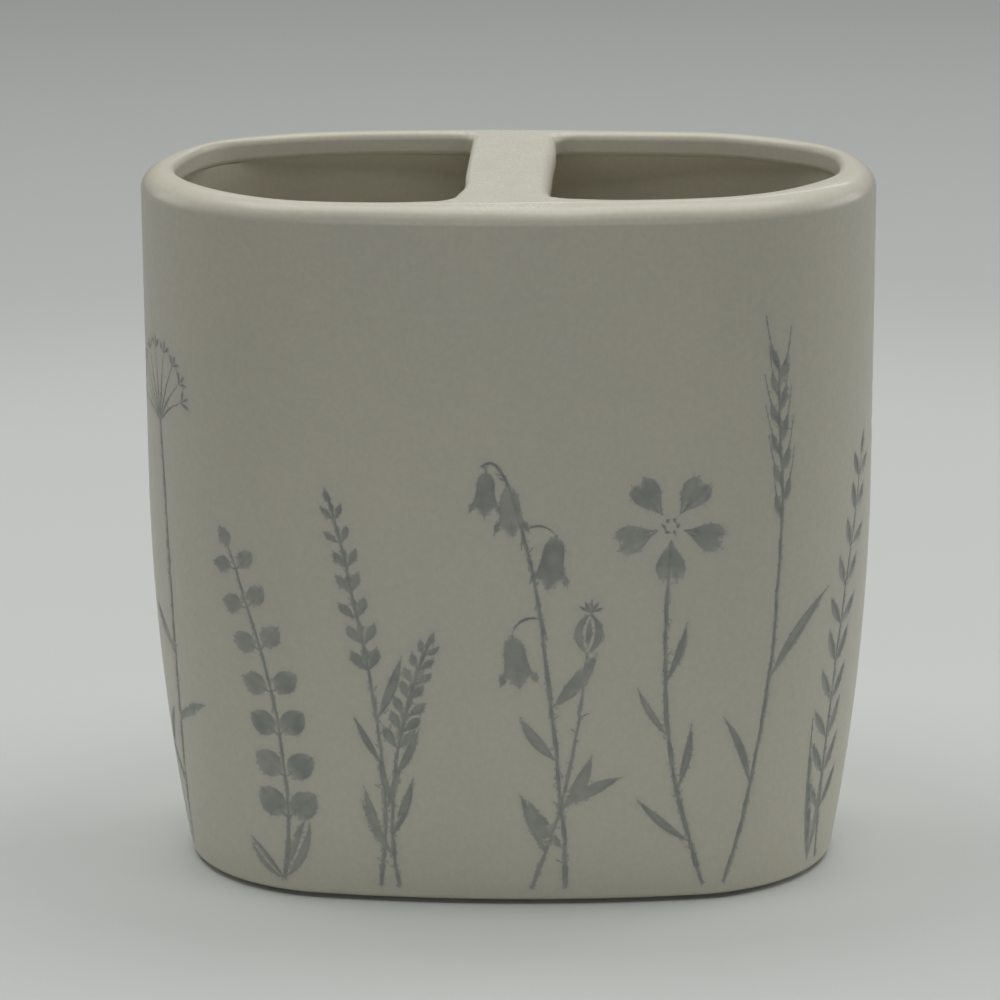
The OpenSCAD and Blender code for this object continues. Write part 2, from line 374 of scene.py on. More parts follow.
def satin_glaze_group():
    """The look of the glaze, for each piece it covers: its colour, gloss and fine relief."""
    tree = bpy.data.node_groups.new("satin_cream_glaze", "ShaderNodeTree")
    for name, kind in (("Cream", "Color"), ("Line Colour", "Color"), ("Gloss", "Float"),
                       ("Relief", "Float")):
        tree.interface.new_socket(name, in_out="INPUT", socket_type="NodeSocket" + kind)
    for name, kind in (("Color", "Color"), ("Roughness", "Float"), ("Normal", "Vector")):
        tree.interface.new_socket(name, in_out="OUTPUT", socket_type="NodeSocket" + kind)
    given = add_node(tree, "NodeGroupInput").outputs
    place = add_node(tree, "ShaderNodeTexCoord").outputs["Object"]

    def cloud(size, low, high, to_low=0.0, to_high=1.0, detail=2.0, roughness=0.5):
        """Patches about size millimetres across, brought from one range into another."""
        return ramp(tree, noise(tree, place, 1 / (size * MM), detail, roughness), low, high,
                    to_low, to_high)

    def on_skin(name):
        """A value that the mesh carries from point to point."""
        return add_node(tree, "ShaderNodeAttribute", attribute_name=name).outputs["Fac"]

    # The glaze pools a little in wide patches, is finely mottled, and has a few iron specks
    pooled = mixed(tree, cloud(34, 0.32, 0.7, detail=3.0), (0.985, 0.988, 0.992, 1),
                   (1.012, 1.01, 1.004, 1))
    fine = mixed(tree, cloud(0.9, 0.35, 0.68, detail=3.0, roughness=0.8),
                 (0.975, 0.975, 0.971, 1), (1.03, 1.03, 1.03, 1))
    cream = mixed(tree, 1.0, given["Cream"], pooled, "MULTIPLY")
    cream = mixed(tree, 1.0, cream, fine, "MULTIPLY")
    haze, wash = on_skin("haze"), on_skin("wash")
    hazy = sums(tree, "MULTIPLY", haze, cloud(2.0, 0.3, 0.7, 0.2, 0.4))
    cream = mixed(tree, hazy, cream, (0.43, 0.45, 0.42, 1))
    cell = add_node(tree, "ShaderNodeTexVoronoi", {"Vector": place, "Scale": 1 / (5.5 * MM)})
    pick = add_node(tree, "ShaderNodeSeparateColor", {0: cell.outputs["Color"]}).outputs
    near = sums(tree, "LESS_THAN", cell.outputs["Distance"],
                sums(tree, "MULTIPLY", pick[1], 0.045))
    speck = sums(tree, "MULTIPLY", near, sums(tree, "LESS_THAN", pick[0], 0.2))
    cream = mixed(tree, sums(tree, "MULTIPLY", speck, 0.4), cream, (0.2, 0.17, 0.12, 1))

    # The wash is uneven in the grooves. At their edges it is torn here, and has bled out there
    torn = ramp(tree, sums(tree, "ADD", wash, cloud(0.65, 0.3, 0.7, -0.2, 0.2, 1.0)), 0.05, 0.45)
    bled = ramp(tree, sums(tree, "ADD", haze, cloud(0.65, 0.3, 0.7, -0.35, 0.28, 1.0)),
                1.02, 1.25, 0.0, 0.62)
    share = sums(tree, "MULTIPLY", cloud(2.6, 0.3, 0.72, 0.7, 0.97, 3.0, 0.6),
                 sums(tree, "MAXIMUM", sums(tree, "MULTIPLY", wash, torn), bled))
    colour = mixed(tree, share, cream, given["Line Colour"])
    gloss = sums(tree, "ADD", given["Gloss"], cloud(3.2, 0.3, 0.7, -0.03, 0.04))
    gloss = sums(tree, "ADD", gloss, sums(tree, "MULTIPLY", share, 0.05))

    # On the flat top of the bar the glaze is grainy and a little paler, with pale grains that are
    # partly painted glints, and darker specks
    x, _, z = add_node(tree, "ShaderNodeSeparateXYZ", {0: place}).outputs
    across = ramp(tree, sums(tree, "ABSOLUTE", x), 5 * MM, 11 * MM, 1.0, 0.0)
    on_bar = sums(tree, "MULTIPLY", across, ramp(tree, z, (TOP - 1.0) * MM, (TOP - 0.2) * MM))
    grain = cloud(0.5, 0.38, 0.66, roughness=0.75)
    grain_height = sums(tree, "ADD", 0.12, sums(tree, "MULTIPLY", on_bar, 0.5))
    swell = sums(tree, "MULTIPLY", noise(tree, place, 1 / (6.5 * MM)), 3.0)
    swell = sums(tree, "ADD", swell, sums(tree, "MULTIPLY", grain, grain_height))
    relief = add_node(tree, "ShaderNodeBump", {"Strength": given["Relief"], "Distance": 0.03 * MM,
                                               "Height": swell}).outputs[0]
    specks = sums(tree, "ADD", noise(tree, place, 1 / (0.42 * MM), 1.0, 0.6),
                  cloud(4.0, 0.3, 0.7, -0.05, 0.03))
    # Pale grains on the bar: partly the glaze's own grain, partly painted glints on it
    pale = sums(tree, "ADD", 0.14, sums(tree, "MULTIPLY", ramp(tree, specks, 0.55, 0.64), 0.36))
    colour = mixed(tree, sums(tree, "MULTIPLY", on_bar, pale), colour, (0.8, 0.78, 0.7, 1))
    # Darker specks among the grains
    hollow = sums(tree, "MULTIPLY", on_bar, ramp(tree, specks, 0.36, 0.44, 0.25, 0.0))
    colour = mixed(tree, hollow, colour, (0.42, 0.4, 0.33, 1))
    add_node(tree, "NodeGroupOutput", {"Color": colour, "Roughness": gloss, "Normal": relief})
    return tree


def new_material(name):
    """A material, its node tree and its shader."""
    material = bpy.data.materials.new(name)
    material.use_nodes = True
    return material, material.node_tree, material.node_tree.nodes["Principled BSDF"]


def glazed(name, group, cream):
    """A material with the glaze group's look and the shine of satin glass over clay."""
    material, tree, skin = new_material(name)
    look = add_node(tree, "ShaderNodeGroup",
                    {"Cream": cream, "Line Colour": (0.255, 0.268, 0.252, 1), "Gloss": 0.42,
                     "Relief": 0.3}, node_tree=group).outputs
    plug(tree, skin, {"Base Color": look["Color"], "Roughness": look["Roughness"],
                      "Normal": look["Normal"], "Specular IOR Level": 0.3,
                      "Coat Weight": 0.2, "Coat Roughness": 0.09})
    return material


satin = satin_glaze_group()
body_glaze = glazed("satin_glaze_on_wall_and_rim", satin, (0.605, 0.582, 0.484, 1))
# The inside has the same glaze as the outside. This darker, warmer copy of it is painted shade,
# with the warm cast of light bounced about in the hollow.
inside_painted_shade_glaze = glazed("glaze_with_painted_shade_inside", satin, (0.595, 0.562, 0.448, 1))


def give_inside_painted_shade(mesh, is_inside):
    """Gives the glazed faces of the vessel's inside a darker, warmer copy of the glaze: painted
    shade.
    """
    mesh.materials.append(inside_painted_shade_glaze)
    for face in mesh.polygons:
        if face.material_index == 0 and is_inside(face):
            face.material_index = len(mesh.materials) - 1


def bare_stoneware():
    """Fired clay without glaze: chalky, with fine sand in it."""
    material, tree, skin = new_material("bare_stoneware")
    place = add_node(tree, "ShaderNodeTexCoord").outputs["Object"]
    sand, patch = noise(tree, place, 2600.0, 3.0, 0.7), noise(tree, place, 90.0, 4.0)
    tone = sums(tree, "ADD", sums(tree, "MULTIPLY", sand, 0.5), sums(tree, "MULTIPLY", patch, 0.5))
    tone = ramp(tree, tone, 0.35, 0.65, kind="LINEAR")
    relief = add_node(tree, "ShaderNodeBump", {"Strength": 0.5, "Distance": 0.1 * MM,
                                               "Height": sand}).outputs[0]
    plug(tree, skin, {"Base Color": mixed(tree, tone, (0.5, 0.44, 0.33, 1), (0.64, 0.58, 0.46, 1)),
                      "Roughness": ramp(tree, sand, 0.0, 1.0, 0.82, 0.98, "LINEAR"),
                      "Normal": relief})
    return material


bisque = bare_stoneware()

# Drawing with the loop tool. A mark is a centre line with a width at each point.
FINEST = 0.2
marks = []
hand = np.random.default_rng(7)


def mark(points, widths):
    """Adds a mark to the plant in hand, in millimetres on the unrolled wall."""
    ink = hand.uniform(0.72, 1.0)
    marks.append((np.array(points, float), np.maximum(np.array(widths, float), FINEST) / 2, ink))


def leaf(base, heading, length, width, curl=0.0, fullest=0.45, steps=8, blunt=1.0):
    """A blade, petal or bud from its base, headed so many degrees up from the right."""
    share = np.linspace(0, 1, steps)
    heading = np.radians(heading + curl * (share[:-1] + share[1:]) / 2)
    moves = length / (steps - 1) * np.c_[np.cos(heading), np.sin(heading)]
    points = np.array(base) + np.r_[[(0.0, 0.0)], np.cumsum(moves, axis=0)]
    swell = np.sin(np.pi * share ** (math.log(0.5) / math.log(fullest)))
    mark(points, width * np.maximum(swell, 0) ** blunt)
    return points


def split_leaf(base, heading, length, width, curl):
    """A broad leaf in two strokes, with its midrib left bare between them."""
    for side in (-1, 1):
        leaf(base, heading + side * 17, length * hand.uniform(0.94, 1.04), 0.5 * width,
             curl - side * 30, 0.5, 10, 0.8)


def stem(foot, tip, bow, width, end_width, hairs=0, crook=0.0):
    """A stalk from its foot to its tip, bowed to one side by a share of its length.

    A crook lifts it above its tip, so that it nods."""
    foot, tip = np.array(foot, float), np.array(tip, float)
    rise = tip - foot
    side = np.array([rise[1], -rise[0]]) * bow
    share = np.linspace(0, 1, max(6, int(np.hypot(*rise) / 1.7)))[:, None]
    shape = (3 * share * (1 - share) ** 2 * (0.3 * rise + side)
             + 3 * share ** 2 * (1 - share) * (0.72 * rise + 0.6 * side + (0, crook))
             + share ** 3 * rise)
    points = foot + shape
    sway = np.cumsum(hand.normal(0, 0.06, len(points)))
    points[:, 0] += sway - np.linspace(0, sway[-1], len(points))
    widths = np.linspace(width, end_width, len(points)) * hand.uniform(0.84, 1.14, len(points))
    mark(points, widths)
    for place in hand.uniform(0.05, 0.9, hairs):
        spot, heading = on(points, place)
        leaf(spot, heading + hand.choice((-1, 1)) * hand.uniform(35, 60),
             hand.uniform(0.9, 1.5), 0.34, steps=3)
    return points


def on(points, share):
    """The point and the heading at a share of a stalk's length."""
    place = share * (len(points) - 1)
    k = min(int(place), len(points) - 2)
    step = points[k + 1] - points[k]
    return points[k] + (place - k) * step, math.degrees(math.atan2(step[1], step[0]))


def toward(heading):
    """The unit step in a heading."""
    return np.array([math.cos(math.radians(heading)), math.sin(math.radians(heading))])


def dot(centre, width):
    """A small round mark."""
    reach = 0.28 * width * toward(hand.uniform(0, 180))
    mark([centre - reach, centre, centre + reach], [0.62 * width, width, 0.62 * width])


def side_leaves(stalk, shares, length, width, angle, curl):
    """Leaves to alternate sides of a stalk."""
    side = 1
    for share in shares:
        spot, heading = on(stalk, share)
        size = hand.uniform(0.85, 1.15)
        leaf(spot, heading + side * angle * hand.uniform(0.8, 1.2), length * size, width * size,
             -side * curl, 0.5, 9, 0.85)
        side = -side


def grass(foot, reaches):
    """A tuft of blades. Each reach is a heading, a length and a curl."""
    for heading, length, curl in reaches:
        leaf(foot, heading, length, hand.uniform(1.4, 2.0), curl, 0.35, 12)


def foot_leaves(foot, *reaches):
    """Broad leaves at the foot of a plant. Each reach is a heading and a length."""
    for heading, length in reaches:
        split_leaf(foot, heading, length, 0.3 * length, 0.5 * (90 - heading))


def lavender(foot, tip, bow):
    """A spike of small buds in whorls."""
    stalk = stem(foot, tip, bow, 1.0, 0.7, 5)
    side_leaves(stalk, (0.12, 0.21, 0.33, 0.44), 9.5, 1.6, 28, 12)
    for share in np.arange(0.56, 0.97, 0.065):
        spot, heading = on(stalk, share)
        size = 4.2 - 3.4 * (share - 0.56)
        for side in (-1, 1):
            leaf(spot, heading + side * hand.uniform(34, 50), size, 0.46 * size, -side * 16, 0.6, 7,
                 0.8)
        leaf(spot + 0.8 * toward(heading), heading, 0.7 * size, 0.36 * size, 0, 0.6, 6, 0.8)
    spot, heading = on(stalk, 0.99)
    leaf(spot, heading, 2.9, 1.3, 0, 0.5, 6)


def oat(foot, tip, bow):
    """An ear of grass, its grains in two rows with a fine awn on each."""
    stalk = stem(foot, tip, bow, 1.05, 0.6)
    side = 1
    for share in np.arange(0.69, 0.99, 0.029):
        spot, heading = on(stalk, share)
        leaf(spot, heading + side * 24, 4.3, 1.65, -side * 12, 0.45, 7, 0.85)
        leaf(spot + 2 * toward(heading + side * 22), heading + side * 16, 6.5, 0.34, -side * 10,
             0.3, 5)
        side = -side
    side_leaves(stalk, (0.2, 0.4), 15, 1.9, 22, -24)


def bellflower(foot, tip, bow, bells, crook):
    """A nodding stalk, with bells that hang from it on thin twigs."""
    stalk = stem(foot, tip, bow, 1.15, 0.6, 10, crook)
    side_leaves(stalk, (0.09, 0.17, 0.26, 0.35), 10, 2.4, 48, 25)
    side = 1
    for share in np.linspace(0.5, 1.0, bells):
        spot, heading = on(stalk, share)
        lean = (heading + 90) % 360 - 180
        reach = 4.4 * (1.25 - share)
        twig = leaf(spot, -90 + 0.9 * lean + side * 12, reach, 0.6, -0.9 * lean, 0.4, 7)
        if share < 0.8:
            twig = leaf(spot, heading + side * 58, 5.6, 0.6, side * 108, 0.4, 8)
        size = hand.uniform(0.95, 1.1) * (1.5 - 0.5 * share)
        down = -90 + side * hand.uniform(2, 12)
        axis, across = toward(down), toward(down + 90)
        lengths = np.array([0, 0.5, 1.2, 2.1, 3.1, 4.1, 4.8]) * size
        mark(twig[-1] + lengths[:, None] * axis,
             np.array([0.7, 1.7, 2.5, 2.8, 2.9, 3.3, 4.0]) * size)
        for offset in (-1.35, 0, 1.35):
            leaf(twig[-1] + 4.4 * size * axis + offset * size * across, down + 20 * offset,
                 1.9 * size, 1.25 * size, 0, 0.4, 5)
        side = -side


def umbel(foot, tip, bow, rays):
    """A lace flower: rays that spread from the stalk's top, a tuft of strokes on each."""
    stalk = stem(foot, tip, bow, 1.2, 0.8, 12)
    side_leaves(stalk, (0.16, 0.32, 0.47), 11, 2.2, 40, -22)
    side_leaves(stalk, (0.175, 0.335, 0.485), 6.5, 1.5, 62, -22)
    top, heading = on(stalk, 1.0)
    for angle in np.linspace(-70, 70, rays):
        length = 10.5 - 3.0 * (angle / 70) ** 2
        ray = leaf(top, heading + angle * 0.75, length, 0.6, angle * 0.35, 0.3, 7)
        for turn in (-48, 0, 48):
            leaf(ray[-1] + 0.4 * toward(angle + heading), heading + angle + turn, 2.0, 0.85, 0,
                 0.6, 5, 0.8)


def gum_sprig(foot, tip, bow):
    """A sprig with round leaves in pairs."""
    stalk = stem(foot, tip, bow, 1.1, 0.6)
    for share in np.linspace(0.2, 0.93, 7):
        spot, heading = on(stalk, share)
        size = 6.4 - 3.2 * share
        for side in (-1, 1):
            angle = heading + side * hand.uniform(48, 64)
            mark([spot, spot + 0.9 * toward(angle)], [0.5, 0.45])
            leaf(spot + 0.7 * toward(angle), angle, size, 0.84 * size, 0, 0.47, 13, 0.62)
    spot, heading = on(stalk, 1.0)
    leaf(spot, heading, 3.4, 2.5, 0, 0.5, 9, 0.7)


def cosmos(foot, tip, bow, size):
    """An open flower with five broad notched petals round a ring of dots."""
    stalk = stem(foot, tip, bow, 1.15, 0.8, 9)
    side_leaves(stalk, (0.14, 0.3, 0.45, 0.6), 10, 1.5, 36, 18)
    head, _ = on(stalk, 1.0)
    head = head + (0, 2.4 * size)
    first = hand.uniform(0, 72)
    for angle in first + 72 * np.arange(5):
        for lean in (-16, 16):
            leaf(head + 1.7 * size * toward(angle), angle + lean, 5.4 * size, 2.5 * size,
                 -0.9 * lean, 0.66, 9, 0.75)
    for turn in np.arange(6) * 60:
        dot(head + 0.85 * size * toward(turn), 0.7 * size)


def poppy_pod(foot, tip, bow):
    """A ribbed seed pod with its small crown."""
    stalk = stem(foot, tip, bow, 1.0, 0.65, 4)
    side_leaves(stalk, (0.16, 0.36), 10, 2.2, 34, -14)
    spot, heading = on(stalk, 1.0)
    for side in (-1, 1):
        leaf(spot, heading + 52 * side, 7.0, 1.5, -104 * side, 0.5, 10, 0.7)
    leaf(spot + 0.9 * toward(heading), heading, 4.4, 1.2, 0, 0.5, 7, 0.7)
    for angle in (-62, -31, 0, 31, 62):
        leaf(spot + 6.2 * toward(heading), heading + angle, 1.9, 0.75, 0, 0.6, 5)


def olive_sprig(foot, tip, bow):
    """A sprig with narrow leaves close together."""
    stalk = stem(foot, tip, bow, 1.0, 0.6)
    for share in np.linspace(0.14, 0.95, 10):
        spot, heading = on(stalk, share)
        for side in (-1, 1):
            leaf(spot, heading + side * hand.uniform(34, 50), 7.8 - 3.2 * share, 1.9, -side * 16,
                 0.5, 9, 0.8)
    spot, heading = on(stalk, 1.0)
    leaf(spot, heading, 4.4, 1.5, 0, 0.5, 8, 0.8)


def reed(foot, tip, bow):
    """A bulrush."""
    stalk = stem(foot, tip, bow, 0.95, 0.6)
    spot, _ = on(stalk, 0.74)
    end, _ = on(stalk, 0.955)
    share = np.linspace(0, 1, 11)[:, None]
    fullness = np.sin(np.pi * np.clip(share[:, 0], 0.09, 0.91)) ** 0.35
    mark(spot + share * (end - spot), 3.0 * fullness)


# The plants, panel by panel from the back's middle round the left end to the front and on.
# A foot and a tip are a distance along the wall from the middle of the front, and a height.
# BASE is the height at which the plants start, just above the rounded foot.
BASE = 2.7
border = [
    [(oat, (-134, BASE), (-130, 66), -0.08), (grass, (-137, BASE), ((112, 22, -18), (68, 16, 20)))],
    [(bellflower, (-114, BASE), (-103, 64), -0.06, 4, 24.0),
     (foot_leaves, (-113, BASE), (38, 10), (138, 9))],
    [(lavender, (-87, BASE), (-93, 50), 0.06), (lavender, (-84, BASE), (-80, 37), -0.08)],
    [(umbel, (-62, BASE), (-57, 70), 0.09, 9), (poppy_pod, (-64, BASE), (-71, 40), 0.08)],
    [(gum_sprig, (-35, BASE), (-41, 54), 0.12), (foot_leaves, (-35, BASE), (54, 12), (150, 9))],
    [(lavender, (-19, BASE), (-25, 62), 0.08), (lavender, (-16, BASE), (-11, 41), -0.1)],
    [(bellflower, (9, BASE), (-3, 68), 0.06, 4, 24.0), (poppy_pod, (4, BASE), (12, 40), 0.06)],
    [(oat, (34, BASE), (40, 82), 0.07), (cosmos, (30, BASE), (24, 56), -0.09, 1.2)],
    [(olive_sprig, (56, BASE), (60, 64), -0.1),
     (grass, (53, BASE), ((106, 24, -14), (80, 17, 18)))],
    [(cosmos, (77, BASE), (74, 66), 0.08, 1.1), (lavender, (81, BASE), (88, 42), -0.06)],
    [(reed, (101, BASE), (98, 68), 0.05), (reed, (105, BASE), (109, 52), -0.05),
     (grass, (103, BASE), ((116, 26, -20), (62, 22, 20)))],
    [(umbel, (128, BASE), (125, 52), -0.08, 7), (foot_leaves, (129, BASE), (50, 11), (140, 10))],
]
panels = []
for plants in border:
    marks = []
    for draw, *facts in plants:
        draw(*facts)
    panels.append(marks)


# A groove's depth and the width of its banks, the half width from which a mark is cut to its full
# depth, the width over which the wash thins out, and how far beyond a mark its edge is looked for
GROOVE, BANK, FULL_WIDTH, SOFT, CLEAR = 0.26, 0.5, 0.5, 0.28, 2.0
# How far the haze beside a mark spreads, and where extra points round the mark carry it
HAZE_WIDTH, HAZE_RINGS = 0.55, (0.4, 1.2)
foot_edge = wall_round(0, FOOT_ROUND, FOOT + FOOT_ROUND, 5)


def thins_within(half):
    """How far in from a mark's edge its wash thins out, for a half width."""
    return np.minimum(SOFT, 0.6 * half)


def outline(line, half):
    """The edge of a mark, and the line just inside it."""
    ahead = np.gradient(line, axis=0)
    ahead /= np.linalg.norm(ahead, axis=1)[:, None]
    across = np.c_[-ahead[:, 1], ahead[:, 0]]
    inner = half - thins_within(half)
    edge = np.concatenate([[line[0] - ahead[0] * half[0]], line - across * half[:, None],
                           [line[-1] + ahead[-1] * half[-1]],
                           (line + across * half[:, None])[::-1]])
    within = np.concatenate([line - across * inner[:, None], line + across * inner[:, None]])
    return edge, within


def off_line(points, start, step):
    """From each point to each step of a line: the share along the step, and the way off it."""
    away = points[:, None] - start[None]
    share = np.clip((away * step).sum(2) / np.maximum((step ** 2).sum(1), 1e-9), 0, 1)
    return share, away - share[..., None] * step


def scratched(points, marks_there):
    """How far each point lies inside the marks, how deep and inked it is, and the slope there."""
    inside = np.full(len(points), -9.0)
    groove, ink = np.zeros(len(points)), np.zeros(len(points))
    slope = np.zeros((len(points), 2))
    for line, half, strength in marks_there:
        edge, _ = outline(line, half)
        low, high = edge.min(0) - CLEAR, edge.max(0) + CLEAR
        found = np.flatnonzero(np.all((points >= low) & (points <= high), axis=1))
        if not len(found):
            continue
        here, row = points[found], np.arange(len(found))
        step = np.roll(edge, -1, axis=0) - edge
        _, off = off_line(here, edge, step)
        distance = np.hypot(off[..., 0], off[..., 1])
        best = distance.argmin(1)
        distance, off = distance[row, best], off[row, best]
        level, after = edge[None, :, 1], np.roll(edge, -1, axis=0)[None, :, 1]
        crossed = (level > here[:, 1:]) != (after > here[:, 1:])
        rise = np.where(np.abs(step[:, 1]) < 1e-9, 1e-9, step[:, 1])
        meets = edge[:, 0] + (here[:, 1:] - level) * step[:, 0] / rise
        within = (crossed & (here[:, :1] < meets)).sum(1) % 2 == 1
        inside[found] = np.maximum(inside[found], np.where(within, distance, -distance))
        share, off_middle = off_line(here, line[:-1], np.diff(line, axis=0))
        closest = np.hypot(off_middle[..., 0], off_middle[..., 1]).argmin(1)
        share = share[row, closest]
        width = half[:-1][closest] + share * np.diff(half)[closest]
        bank = np.minimum(BANK, 0.95 * width)
        share = within * np.clip(distance / bank, 0, 1)
        full = np.minimum(1.0, width / FULL_WIDTH)
        depth = full * share ** 2 * (3 - 2 * share)
        deeper = depth > groove[found]
        groove[found[deeper]] = depth[deeper]
        grade = (full * 6 * share * (1 - share) / bank)[deeper, None]
        slope[found[deeper]] = grade * off[deeper] / np.maximum(distance[deeper, None], 1e-6)
        colour = strength * within * np.clip(distance / thins_within(width), 0, 1)
        ink[found] = np.maximum(ink[found], colour)
    return inside, groove, ink, slope


# Each panel is as wide as its plants need. A fence parts it from the next, on the plan's columns
# at the foot and the top, and clear of the marks on both sides between them.
heights = np.linspace(foot_edge[0][1], SEAM, 34)
half_girth = girth / 2
around = columns - half_girth
# How far above or below a fence's point a mark still counts, the least gap between the marks of
# two panels, and how far a fence stays off the marks where only one side has any
SAME_HEIGHT, LEAST_GAP, FENCE_ROOM = 4.2, 0.5, 0.6


def reach_at(marks_there, height, side):
    """How far a panel's marks reach to one side, near a height."""
    reach = [side * line[k, 0] + half[k] for line, half, _ in marks_there
             for k in range(len(line)) if abs(line[k, 1] - height) < SAME_HEIGHT]
    return side * max(reach) if reach else None


fences = [np.c_[np.full(len(heights), -half_girth), heights]]
for left, right in zip(panels, panels[1:]):
    bottom = (reach_at(left, heights[0], 1) + reach_at(right, heights[0], -1)) / 2
    rest_at = around[np.abs(around - bottom).argmin()]
    line = []
    for height in heights:
        low, high = reach_at(left, height, 1), reach_at(right, height, -1)
        place = rest_at
        if low is not None and high is not None:
            if high - low < LEAST_GAP:
                raise ValueError(f"plants touch at {low:.1f} to {high:.1f}, height {height:.0f}")
            room = 0.4 * (high - low)
            place = min(max(rest_at, low + room), high - room)
        elif low is not None:
            place = max(rest_at, low + FENCE_ROOM)
        elif high is not None:
            place = min(rest_at, high - FENCE_ROOM)
        line.append((place, height))
    line[0], line[-1] = (rest_at, heights[0]), (rest_at, heights[-1])
    fences.append(np.array(line))
fences.append(np.c_[np.full(len(heights), half_girth), heights])
# The plain wall's points: each second row moved along, and their room to the fences and marks.
# RING_ROOM and LIFT keep the haze's points off the fences and off the panel's lower edge.
STAGGER, GRID_ROOM, MARK_ROOM, RING_ROOM, RING_MARK_ROOM, LIFT = 1.4, 0.9, 0.5, 0.3, 0.2, 0.25


def drawn_panel(marks_there, left, right):
    """One panel of the unrolled wall as triangles that follow every mark on it."""
    low_edge = [(u, heights[0]) for u in around if left[0, 0] < u < right[0, 0]]
    high_edge = [(u, heights[-1]) for u in around if left[-1, 0] < u < right[-1, 0]]
    ring = np.concatenate([left[:1], low_edge, right, np.array(high_edge)[::-1], left[:0:-1]])
    spots, edges = [ring], [(k, (k + 1) % len(ring)) for k in range(len(ring))]
    count = len(ring)
    for line, half, _ in marks_there:
        edge, within = outline(line, half)
        edges += [(count + k, count + (k + 1) % len(edge)) for k in range(len(edge))]
        count += len(edge)
        edges += [(count + k, count + k + 1) for k in range(len(line) - 1)]
        count += len(line) + len(within)
        spots += [edge, line, within]
    for points, room, mark_room in (
            (np.array([(u + 0.5 * STAGGER * (row % 2), height)
                       for row, height in enumerate(heights[1:-1]) for u in around]),
             GRID_ROOM, MARK_ROOM),
            (np.concatenate([outline(line, half + reach)[0] for line, half, _ in marks_there
                             for reach in HAZE_RINGS]), RING_ROOM, RING_MARK_ROOM)):
        points[:, 1] = np.maximum(points[:, 1], heights[0] + LIFT)
        low, high = (np.interp(points[:, 1], *fence.T[::-1]) for fence in (left, right))
        points = points[(low + room < points[:, 0]) & (points[:, 0] < high - room)]
        spots.append(points[scratched(points, marks_there)[0] < -mark_room])
    # Triangles over all the points, with every edge kept and points closer than 0.0001 made one
    every = [Vector(point) for point in np.concatenate(spots)]
    points, _, faces, _, _, _ = delaunay_2d_cdt(every, edges, [], 1, 1e-4, False)
    points, faces = np.array(points), np.array([list(face) for face in faces])
    middle = points[faces].mean(1)
    between = ((middle[:, 0] > np.interp(middle[:, 1], heights, left[:, 0]))
               & (middle[:, 0] < np.interp(middle[:, 1], heights, right[:, 0])))
    inside, groove, ink, slope = scratched(points, marks_there)
    turns = np.c_[GROOVE * slope[:, 0], np.ones(len(points)), GROOVE * slope[:, 1]]
    turns /= np.linalg.norm(turns, axis=1)[:, None]
    return {"points": np.c_[points[:, 0] + half_girth, np.zeros(len(points)), points[:, 1]],
            "faces": faces[between].tolist(), "turns": turns, "groove": groove, "wash": ink,
            "haze": np.exp(np.minimum(inside, 0) / HAZE_WIDTH)}


wall_parts = [drawn_panel(*facts) for facts in zip(panels, fences, fences[1:])]
# Inside, the wall thins between two heights, and its face leans back a little there
THINS, LEANS_BACK = (70.0, 95.0), 2.3
inner_heights = np.r_[np.linspace(FOOT, BELLY, 12), np.linspace(*THINS, 7), SEAM]
inner_face = [(-np.interp(up, THINS, (WALL, WALL_TOP)), up,
               180 - LEANS_BACK * (THINS[0] < up < THINS[1])) for up in inner_heights]
wall_parts += [
    strip(columns, inner_face[::-1]),
    strip(columns, [(-WALL, FOOT, 0), (foot_edge[-1][0], FOOT, 0)], flat=True, bare=True),
    strip(columns, foot_edge[:0:-1] + foot_edge[:1]),
    strip(columns, [(0, SEAM, 0), (-WALL_TOP, SEAM, 0)], flat=True),
]
wall_mesh = bent_clay(wall_parts, plan_curve, body_glaze, bisque, groove_depth=GROOVE)
# The wall's inside faces get painted shade: the darker, warmer copy of the glaze.
give_inside_painted_shade(wall_mesh, lambda face: face.normal.xy.dot(face.center.xy) < 0)
shown("drawn_wall", wall_mesh, "vessel_wall")

# THE FLOOR
# The real piece is the vessel's cast floor, of the same stoneware, with a rounded corner up to the
# wall. It is glazed above and below, and wiped bare on the foot ring so that it doesn't stick
# to the kiln shelf.

FLOOR_UNDER, FLOOR_TOP, CORNER_ROUND, RING_IN, RING_ROUND = 1.7, 6.7, 6.0, 10.7, 0.4


def disc(along, out, up, down=False):
    """A flat oval face inside a ring round the path."""
    count = len(along) - 1
    ring = list(range(count))
    return {"points": np.c_[along[:-1], np.full(count, out), np.full(count, up)],
            "faces": [ring[::-1] if down else ring]}


corner = wall_round(WALL, CORNER_ROUND, FLOOR_TOP + CORNER_ROUND, 10, hollow=True)
ring_edge = undrawn(rounded(-RING_IN + RING_ROUND, FOOT + RING_ROUND, RING_ROUND, 180, 270, 4))
recess_top = undrawn([(-RING_IN, FLOOR_UNDER, 180)])
floor_parts = [
    disc(columns, recess_top[0][0], FLOOR_UNDER, down=True),
    strip(columns, recess_top + ring_edge),
    strip(columns, [ring_edge[-1], (-WALL, FOOT, 0)], flat=True, bare=True),
    strip(columns, [(-WALL, up, 0) for up in np.linspace(FOOT, corner[0][1], 4)]),
    strip(columns, corner),
    disc(columns, corner[-1][0], FLOOR_TOP),
]
floor_mesh = bent_clay(floor_parts, plan_curve, body_glaze, bisque)
# The floor's upper faces inside the vessel get the same painted shade.
give_inside_painted_shade(floor_mesh, lambda face: face.normal.z > 0.01)
shown("floor_and_foot_ring", floor_mesh, "vessel_floor")

# THE RIM
# The real piece is a rim set on the wall before firing, round on its outer edge, with a soft lip
# that stands in over the wall's inside. The openings are cut by hand and smoothed with a sponge.

RIM, LIP, LIP_UNDER = 5.6, 1.2, 0.8
ROUND_IN, ROUND_DOWN = 3.5, 3.0
